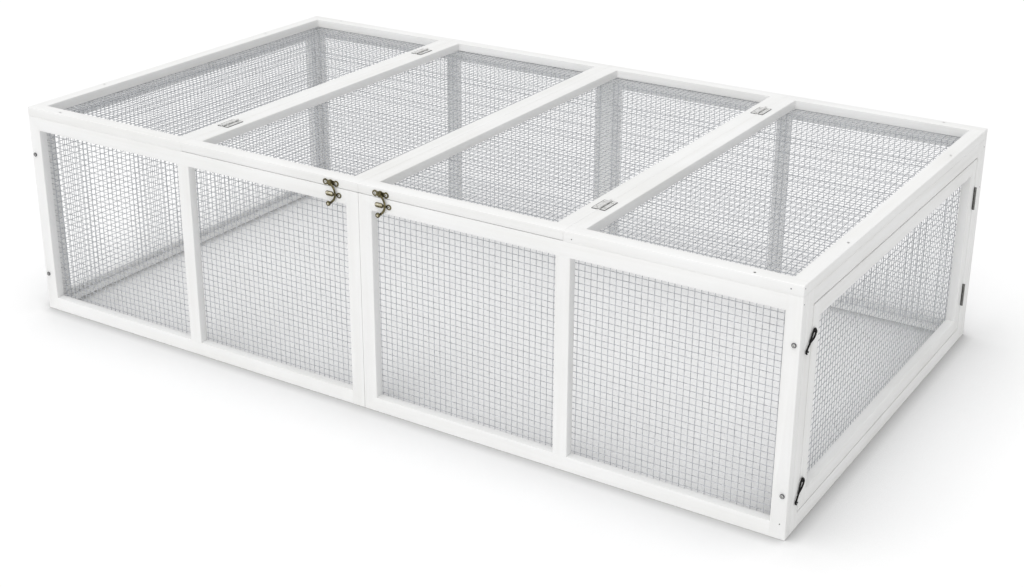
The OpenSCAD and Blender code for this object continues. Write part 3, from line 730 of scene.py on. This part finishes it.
def makeLeaf(length, reach, low, toward, first, finishes):
    s = hingeSet
    near, far = sorted((toward * s["start"], toward * reach))
    plate = addBlock((near, 0, low), (far, length, low + s["thick"]))
    pickEdges(plate, lambda a, b: abs(a.z - b.z) > s["thick"] / 2 and abs(a.x) > reach - nearly)
    bpy.ops.mesh.bevel(offset=s["corner"], segments=s["cornerSteps"], affect="EDGES")
    bpy.ops.object.mode_set(mode="OBJECT")
    roundEdges(plate, s["round"])
    # the plate's top inside its rim has the first finish, and all the rest the second: a darker painted shade
    # round the leaf's edge
    pickFaces(plate, lambda face: face.normal.z > squareTo and face.area > reach * length / 4)
    bpy.ops.mesh.inset(thickness=s["rim"])
    bpy.ops.object.mode_set(mode="OBJECT")
    twoFinishes(plate, finishes)
    useSecondFinish(plate, lambda face: not face.select)
    pieces = [plate]
    knuckle = (length - (s["knuckles"] - 1) * s["gap"]) / s["knuckles"]
    near, far = sorted((0, toward * (s["start"] + s["round"])))
    laid = Matrix.Rotation(math.pi / 2, 4, "X")
    for k in range(first, s["knuckles"], 2):
        start = k * (knuckle + s["gap"])
        barrel = addRound(s["barrel"], 0, knuckle, sides=s["sides"])
        barrel.matrix_world = Matrix.Translation((0, start + knuckle, 0)) @ laid
        roundEdges(settle(barrel), s["round"])
        tongue = addBlock(
            (near, start + s["round"], low + s["sunk"]),
            (far, start + knuckle - s["round"], low + s["thick"] - s["sunk"]))
        for piece in (barrel, tongue):
            twoFinishes(piece, finishes)
            pieces.append(piece)
    return smooth(joinPieces(pieces, "leaf"))


# hinge pins with domed ends that stand a little proud of the knuckles
def makePin(length):
    s = hingeSet
    pin = addRound(s["pin"], -s["pinProud"], length + s["pinProud"], sides=s["pinSides"])
    return smooth(roundEdges(pin, s["pinRound"], 3), s["pinSmooth"])


def makeHinges(metals):
    s = hingeSet
    lidPin, doorPin = makePin(s["lidLength"]), makePin(s["doorLength"])
    pins, spots = [], {}
    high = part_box("left_lid_hinge_fixed_leaves")[1]
    rise, reach = high.z - s["barrel"], high.y - s["lidCadLength"] / 2
    starts = [end * reach - s["lidLength"] / 2 for end in (-1, 1)]
    # the second finish paints shade round each leaf's edge
    finishes = [metals["zincLeaf"], metals["leafShadeRim"]]
    for side, sign in (("left", -1), ("right", 1)):
        axis = joints[side + "_lid_hinge"]["pos_m"][0]
        pins += copyTo(lidPin, [stand((axis, start, rise), (1, 0, 0), (0, 0, -1)) for start in starts])
        for kind, toward, first in (("fixed", sign, 0), ("moving", -sign, 1)):
            node = side + "_lid_hinge_" + kind + "_leaves"
            leaf = makeLeaf(s["lidLength"], s["lidReach"], runTop - rise, toward, first, finishes)
            copies = copyTo(leaf, [Matrix.Translation((axis, start, rise)) for start in starts])
            remove(leaf)
            dress(joinPieces(copies, node + "_made"), finishes, bodyOf(node), [node])
            across = axis + toward * (s["start"] + s["lidReach"]) / 2
            offset = s["screwShare"] * s["lidLength"]
            spots[node] = [
                stand((across, end * reach + turn * offset, runTop + s["thick"]), (1, 0, 0), (0, 1, 0))
                for end in (-1, 1) for turn in (-1, 1)]

    x, y, _ = joints["end_door_hinge"]["pos_m"]
    half = s["doorGap"] / 2
    finishes = [metals["dullPlate"], metals["boltSteel"]]
    low, high = (corner.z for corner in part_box("door_hinge_fixed_leaves"))
    starts = (low, high - s["doorLength"])
    for kind, under, facing, first in (("fixed", -half, 1, 0), ("moving", half - s["thick"], -1, 1)):
        node = "door_hinge_" + kind + "_leaves"
        leaf = makeLeaf(s["doorLength"], s["doorReach"], under, -1, first, finishes)
        copies = copyTo(leaf, [stand((x, y, z), (1, 0, 0), (0, 0, 1)) for z in starts])
        remove(leaf)
        dress(joinPieces(copies, node + "_made"), finishes, bodyOf(node), [node])
        across = x - (s["start"] + s["doorReach"]) / 2
        level = y + facing * (half - s["thick"])
        heights = [z + s["doorLength"] * (0.5 + turn * s["screwShare"]) for z in starts for turn in (-1, 1)]
        spots[node] = [stand((across, level, height), (1, 0, 0), (0, 0, facing)) for height in heights]
    pins += copyTo(doorPin, [Matrix.Translation((x, y, z)) for z in starts])
    remove(lidPin, doorPin)
    dress(joinPieces(pins, "hinge_pins_made"), metals["boltSteel"], bodyOf("hinge_pins"),
          ["hinge_pins"])
    print("hinges made")
    return spots


# lid latches: screwed plate with a stud, curved arm with a knob, keeper with a raised boss
latchSet = {"round": 0.0003, "smooth": 50, "earSides": 32,
            # plate and its stud
            "plate": 0.0012, "ears": 0.013, "earRound": 0.0062, "waist": 0.009, "middle": 0.0065,
            "shoulder": 0.0034, "shoulderSides": 24, "stud": 0.0020, "studSides": 20, "studHead": 0.0037,
            "studHigh": 0.0013, "studRound": 0.0008, "play": 0.0001,
            # arm: its bow's angles are from its own centre, and its steps go along the bow and round it
            "armLow": 0.0036, "armThick": 0.0022, "armWide": 0.0048, "armEye": 0.0046, "eyeRound": 0.0005,
            "armRound": 0.0224, "armFrom": 63.4, "armTo": -70.0, "bowSteps": (72, 12),
            "knob": 0.0050, "knobFoot": 0.0032, "knobHigh": 0.0062, "knobDish": 0.0004,
            # shares of the knob's height where its rim lies and its cap is rounded, of its radius that the
            # dish's rim takes, and of the dish's depth below which it has a painted highlight
            "knobRim": 0.45, "knobRound": 0.35, "dishRim": 0.22, "dishBright": 0.9,
            # keeper and its boss, whose upper part has a painted highlight where it looks outwards by more
            # than bossFacing
            "drop": 0.023, "bossAt": -0.004, "bossLong": 0.018, "bossTall": 0.008, "bossHigh": 0.0020,
            "bossSunk": 0.0004, "bossRound": 0.0016, "bossSteps": 4, "bossBrightFrom": 0.0, "bossFacing": 0.5,
            "rim": 0.001, "earAt": 0.019, "keeperEar": 0.0056, "neck": 0.005}
# a capsule's ends: how much of its half height they are rounded by, and in how many steps
capsuleSet = {"endShare": 0.998, "steps": 10}


# a flat bar with round ends
def addCapsule(centre, long, tall, low, high):
    x, y = centre
    bar = addBlock((x - long / 2, y - tall / 2, low), (x + long / 2, y + tall / 2, high))
    pickEdges(bar, lambda a, b: abs(a.z - b.z) > (high - low) / 2)
    bpy.ops.mesh.bevel(
        offset=tall / 2 * capsuleSet["endShare"], segments=capsuleSet["steps"], affect="EDGES")
    bpy.ops.object.mode_set(mode="OBJECT")
    return bar


def makeLatchPlate(finishes):
    s = latchSet
    plate = addBlock((-s["ears"], -s["waist"] / 2, 0), (s["ears"], s["waist"] / 2, s["plate"]))
    for x, radius in ((0, s["middle"]), (-s["ears"], s["earRound"]), (s["ears"], s["earRound"])):
        combine(plate, addRound(radius, 0, s["plate"], (x, 0), sides=s["earSides"]), "UNION")
    roundEdges(plate, s["round"])
    headLow = s["armLow"] + s["armThick"] + s["play"]
    shoulder = addRound(s["shoulder"], s["plate"], s["armLow"] - s["play"], sides=s["shoulderSides"])
    stud = addRound(s["stud"], s["plate"], headLow, sides=s["studSides"])
    head = addRound(s["studHead"], headLow, headLow + s["studHigh"] - s["play"])
    roundEdges(head, s["studRound"], 4)
    for piece in (plate, shoulder, stud, head):
        twoFinishes(piece, finishes)
    return smooth(joinPieces([plate, shoulder, stud, head], "latchPlate"))


def makeLatchArm(finishes):
    s = latchSet
    start, end = math.radians(s["armFrom"]), math.radians(s["armTo"])
    level = s["armLow"] + s["armThick"] / 2
    centre = Vector((-s["armRound"] * math.cos(start), -s["armRound"] * math.sin(start), level))
    along, around = s["bowSteps"]
    bpy.ops.mesh.primitive_torus_add(
        major_segments=along, minor_segments=around, major_radius=s["armRound"],
        minor_radius=s["armWide"] / 2, location=centre)
    bow = bpy.context.object
    bow.scale = (1, 1, s["armThick"] / s["armWide"])
    settle(bow)
    bpy.ops.object.mode_set(mode="EDIT")
    for keep in ((-math.sin(end), math.cos(end), 0), (math.sin(start), -math.cos(start), 0)):
        bpy.ops.mesh.select_all(action="SELECT")
        bpy.ops.mesh.bisect(plane_co=centre, plane_no=keep, use_fill=True, clear_inner=True)
    bpy.ops.object.mode_set(mode="OBJECT")
    eye = roundEdges(addRound(s["armEye"], s["armLow"], s["armLow"] + s["armThick"]), s["eyeRound"], 3)
    tip = (centre.x + s["armRound"] * math.cos(end), centre.y + s["armRound"] * math.sin(end))
    low, rim, high = (s["armLow"] + share * s["knobHigh"] for share in (0, s["knobRim"], 1))
    foot = addRound(s["knobFoot"], low, rim, tip, top=s["knob"])
    cap = roundEdges(addRound(s["knob"], rim, high, tip), s["knobHigh"] * s["knobRound"], 4)
    pickFaces(cap, lambda face: face.center.z > high - nearly)
    bpy.ops.mesh.inset(thickness=s["knob"] * s["dishRim"])
    bpy.ops.transform.translate(value=(0, 0, -s["knobDish"]))
    bpy.ops.object.mode_set(mode="OBJECT")
    for piece in (bow, eye, foot, cap):
        twoFinishes(piece, finishes)
    # the floor of the knob's dish gets the bright finish as a painted highlight
    brightBelow = high - s["knobDish"] * s["dishBright"]
    useSecondFinish(cap, lambda face: rim < face.center.z < brightBelow and face.normal.z > squareTo)
    return smooth(joinPieces([bow, eye, foot, cap], "latchArm"), s["smooth"])


def makeLatchKeeper(finishes):
    s = latchSet
    y = -s["drop"]
    base = addCapsule(
        (s["bossAt"], y), s["bossLong"] + 2 * s["rim"], s["bossTall"] + 2 * s["rim"], 0, s["plate"])
    neck = addBlock((s["bossAt"], y - s["neck"] / 2, 0), (s["earAt"], y + s["neck"] / 2, s["plate"]))
    combine(base, neck, "UNION")
    combine(base, addRound(s["keeperEar"], 0, s["plate"], (s["earAt"], y), sides=s["earSides"]), "UNION")
    roundEdges(base, s["round"])
    top = s["plate"] + s["bossHigh"]
    boss = addCapsule((s["bossAt"], y), s["bossLong"], s["bossTall"], s["plate"] - s["bossSunk"], top)
    pickEdges(boss, lambda a, b: a.z > top - nearly and b.z > top - nearly)
    bpy.ops.mesh.bevel(offset=s["bossRound"], segments=s["bossSteps"], affect="EDGES")
    # the upper part of the boss is painted bright: a painted highlight, and the wear where the arm rubs
    bpy.ops.mesh.select_all(action="SELECT")
    bpy.ops.mesh.bisect(plane_co=(0, y + s["bossBrightFrom"], 0), plane_no=(0, 1, 0))
    bpy.ops.object.mode_set(mode="OBJECT")
    for piece in (base, boss):
        twoFinishes(piece, finishes)
    useSecondFinish(boss, lambda face: face.normal.z > s["bossFacing"] and face.center.y > y + s["bossBrightFrom"])
    return smooth(joinPieces([base, boss], "latchKeeper"), s["smooth"])


def makeLatches(metals):
    s = latchSet
    # the second finish paints highlights on the knob's dish and the boss's upper part
    finishes = [metals["antiqueBrass"], metals["litAndWornBrass"]]
    makers = {"plate": makeLatchPlate, "arm": makeLatchArm, "keeper": makeLatchKeeper}
    templates = {kind: make(finishes) for kind, make in makers.items()}
    spots = {}
    for side in ("left", "right"):
        pivot = Vector(joints[side + "_latch_pivot"]["pos_m"])
        pivot.y = runFront
        place = stand(pivot, (1, 0, 0), (0, 0, 1))
        for kind, template in templates.items():
            node = side + "_latch_" + kind
            made = joinPieces(copyTo(template, [place]), node + "_made")
            dress(made, finishes, bodyOf(node), [node])
        spots[side + "_plate"] = [
            place @ Matrix.Translation((x, 0, s["plate"])) for x in (-s["ears"], s["ears"])]
        spots[side + "_keeper"] = [place @ Matrix.Translation((s["earAt"], -s["drop"], s["plate"]))]
    remove(*templates.values())
    print("latches made")
    return spots


# door hooks: black wire bent to a long teardrop eye round its screw, and turned in at the tip
hookSet = {"wire": 0.0017, "angles": {"upper": 38.0, "lower": 52.0}, "sections": 6,
           # along the hook from its pivot, and across it
           "bends": [(0.0418, 0.0052), (0.0419, 0.0028), (0.0408, 0.0006), (0.0380, 0.0),
                     (0.0280, 0.0), (0.0215, 0.0008), (0.0160, 0.0036), (0.0105, 0.0068),
                     (0.0050, 0.0084), (0.0000, 0.0076), (-0.0036, 0.0048), (-0.0047, 0.0006),
                     (-0.0038, -0.0036), (-0.0002, -0.0060), (0.0060, -0.0060), (0.0125, -0.0042),
                     (0.0180, -0.0022), (0.0230, -0.0012)],
           "roundSteps": 3, "tip": (14, 8), "smooth": 60,
           # pan-head screw that each hook swings on
           "screwHead": 0.0037, "headHigh": 0.0019, "headLow": 0.0014, "headRound": 0.0009,
           "crossLong": 0.004588, "crossWide": 0.0010, "crossDeep": 0.0008,
           "shank": 0.0016, "shankLong": 0.014, "shankInHead": 0.0002, "shankSides": 16}


def makeHook():
    s = hookSet
    curve = bpy.data.curves.new("hookWire", "CURVE")
    curve.dimensions = "3D"
    curve.bevel_depth = s["wire"]
    curve.bevel_resolution = s["roundSteps"]
    curve.resolution_u = s["sections"]
    spline = curve.splines.new("BEZIER")
    spline.bezier_points.add(len(s["bends"]) - 1)
    for point, (along, across) in zip(spline.bezier_points, s["bends"]):
        point.co = (0, along, across)
        point.handle_left_type = point.handle_right_type = "AUTO"
    wire = bpy.data.objects.new("hookWire", curve)
    bpy.context.collection.objects.link(wire)
    selectOnly(wire)
    bpy.ops.object.convert(target="MESH")
    pieces = [bpy.context.object]
    for end in (s["bends"][0], s["bends"][-1]):
        pieces.append(addBall(s["wire"], (0, *end), *s["tip"]))
    return smooth(joinPieces(pieces, "hook"), s["smooth"])


def makeHooks(metals):
    s = hookSet
    hook = makeHook()
    top = s["headLow"] + s["headHigh"]
    head = roundEdges(addRound(s["screwHead"], s["headLow"], top), s["headRound"], 4)
    x, y = s["crossLong"] / 2, s["crossWide"] / 2
    for a, b in ((x, y), (y, x)):
        combine(head, addBlock((-a, -b, top - s["crossDeep"]), (a, b, 2 * top)), "DIFFERENCE")
    shank = addRound(s["shank"], -s["shankLong"], s["headLow"] + s["shankInHead"], sides=s["shankSides"])
    screw = smooth(joinPieces([head, shank], "pivotScrew"))
    screws = []
    for name in ("upper", "lower"):
        pivot = Vector(joints[name + "_hook_pivot"]["pos_m"])
        turn = math.radians(s["angles"][name])
        node = name + "_door_hook"
        place = stand(pivot, (1, 0, 0), (0, -math.cos(turn), -math.sin(turn)))
        made = joinPieces(copyTo(hook, [place]), node + "_made")
        dress(made, metals["blackHook"], bodyOf(node), [node])
        screws += copyTo(screw, [stand(pivot, (0, 1, 0), (0, 0, 1))])
    dress(joinPieces(screws, "hook_pivot_screws_made"), metals["blackHook"], bodyOf("hook_pivot_screws"),
          ["hook_pivot_screws"])
    remove(hook, screw)
    print("door hooks made")


# corner bolts with a dished head and a hexagon recess, both with a painted highlight
boltSet = {"head": 0.0045, "high": 0.0026, "round": 0.0009, "sides": 32, "dish": 0.0030,
           "dishDeep": 0.0003, "recess": 0.0019, "recessDeep": 0.0015, "recessSides": 6,
           "shank": 0.0025, "long": 0.036, "sunk": 0.0001, "shankSides": 20,
           # faces in the dish and recess get a painted highlight where they look outwards by more than this
           "brightFacing": 0.86}


def makeBolts(metals):
    s = boltSet
    top = s["high"]
    floor = top - s["recessDeep"]
    bolt = roundEdges(addRound(s["head"], 0, top, sides=s["sides"]), s["round"], 3)
    combine(bolt, addRound(s["dish"], top - s["dishDeep"], top * 2, sides=s["sides"]), "DIFFERENCE")
    combine(bolt, addRound(s["recess"], floor, top * 2, sides=s["recessSides"]), "DIFFERENCE")
    shank = addRound(s["shank"], -s["long"], s["sunk"], sides=s["shankSides"])
    finishes = [metals["boltSteel"], metals["screwZinc"]]
    for piece in (bolt, shank):
        twoFinishes(piece, finishes)
    # the outward faces of the dish and recess get the bright finish as a painted highlight
    bright = (floor - s["sunk"], top - s["sunk"])
    useSecondFinish(bolt, lambda face: face.normal.z > s["brightFacing"] and bright[0] < face.center.z < bright[1])
    bolt = smooth(joinPieces([bolt, shank], "cornerBolt"))
    low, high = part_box("corner_bolts")
    places = []
    for x in (low.x + s["head"], high.x - s["head"]):
        for z in (low.z + s["head"], high.z - s["head"]):
            for side in (-1, 1):
                places.append(stand((x, side * -runFront, z), (-side, 0, 0), (0, 0, 1)))
    made = joinPieces(copyTo(bolt, places), "corner_bolts_made")
    remove(bolt)
    dress(made, finishes, bodyOf("corner_bolts"), ["corner_bolts"])
    print("bolts made")


# brads whose heads show at the corners
bradSet = {"head": 0.0012, "proud": 0.0003, "long": 0.005, "sides": 12,
           # on the front face: along the run and up; on the right end: depth and up
           "front": [(0.8848, 0.4704), (0.4713, 0.4668), (0.8960, 0.0300)],
           "end": [(-0.4945, 0.4738), (-0.4945, 0.4453), (0.4880, 0.4420), (0.4880, 0.3520)]}


def makeBrads(metals):
    s = bradSet
    brad = roundEdges(addRound(s["head"], -s["long"], s["proud"], sides=s["sides"]), s["proud"])
    places = [stand((x, runFront, z), (1, 0, 0), (0, 0, 1)) for x, z in s["front"]]
    places += [stand((runRight, y, z), (0, 1, 0), (0, 0, 1)) for y, z in s["end"]]
    made = joinPieces(copyTo(brad, places), "brads")
    remove(brad)
    dress(smooth(made), metals["boltSteel"], "run_frame")
    print("brads made")


def makeScrews(spots, metals):
    s = screwSet
    short, long = makeScrew(s["length"]), makeScrew(s["seamLength"])
    # seam screws start in a stile's inner edge, a board's width in from the corner bolts
    low, high = (corner.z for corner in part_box("corner_bolts"))
    fromBolt = boltSet["head"] + timberWide
    seams = [
        stand((-timberWide, -y * (runFront + timberDeep / 2), z), (0, 1, 0), (0, 0, -1))
        for y in (-1, 1) for z in (low + fromBolt, high - fromBolt)]
    heldBy = {
        "frame_screws": ["left_lid_hinge_fixed_leaves", "right_lid_hinge_fixed_leaves",
                         "door_hinge_fixed_leaves", "left_keeper", "right_keeper"],
        "left_lid_screws": ["left_lid_hinge_moving_leaves", "left_plate"],
        "right_lid_screws": ["right_lid_hinge_moving_leaves", "right_plate"],
        "end_door_screws": ["door_hinge_moving_leaves"],
    }
    for node, holders in heldBy.items():
        screws = copyTo(short, [spot for holder in holders for spot in spots[holder]])
        if node == "frame_screws":
            screws += copyTo(long, seams)
        made = joinPieces(screws, node + "_made")
        dress(made, metals["screwZinc"], bodyOf(node), [node])
    remove(short, long)
    print("screws made")


# make everything
makeCamera()
makeStudio()
print("camera, light and floor made")

paints = {axis: paintedTimber(axis) for axis in "xyz"}
metals = {name: metalFinish(name) for name in metalSet}
slotFinish = {
    "hinge_steel": metals["zincLeaf"], "dark_steel": metals["dullPlate"],
    "black_steel": metals["blackHook"], "latch_brass": metals["antiqueBrass"],
    "insert_brass": metals["turnedBrass"], "bolt_steel": metals["boltSteel"],
    "screw_steel": metals["screwZinc"], "dowel_wood": beechWood(),
    "wire_mesh": metals["galvanised"], "painted_timber": paints["x"],
}
for part in frame["record"]["subparts"]:
    cadNode = frame["nodes"][part["node"]]
    cadNode.data.materials.clear()
    cadNode.data.materials.append(slotFinish[part["material_slot"]])
frame["nodes"]["top_nails"].data.materials[0] = metals["paintedNail"]
print("materials made")

for frameNotes in timberFrames:
    makeFrame(*frameNotes, paints)
print("timbers made:", len(timberFrames), "frames")

staple = makeStaple()
for node, outAxis, side in netNodes:
    makeNet(node, outAxis, side, metals["galvanised"])
    staples = joinPieces(copyTo(staple, staplePlaces(node, outAxis, side)), node + "_staples")
    dress(staples, metals["stapleWire"], bodyOf(node))
remove(staple)
print("nets and staples made:", len(netNodes))

screwSpots = makeHinges(metals)
screwSpots.update(makeLatches(metals))
makeHooks(metals)
makeBolts(metals)
makeBrads(metals)
makeScrews(screwSpots, metals)
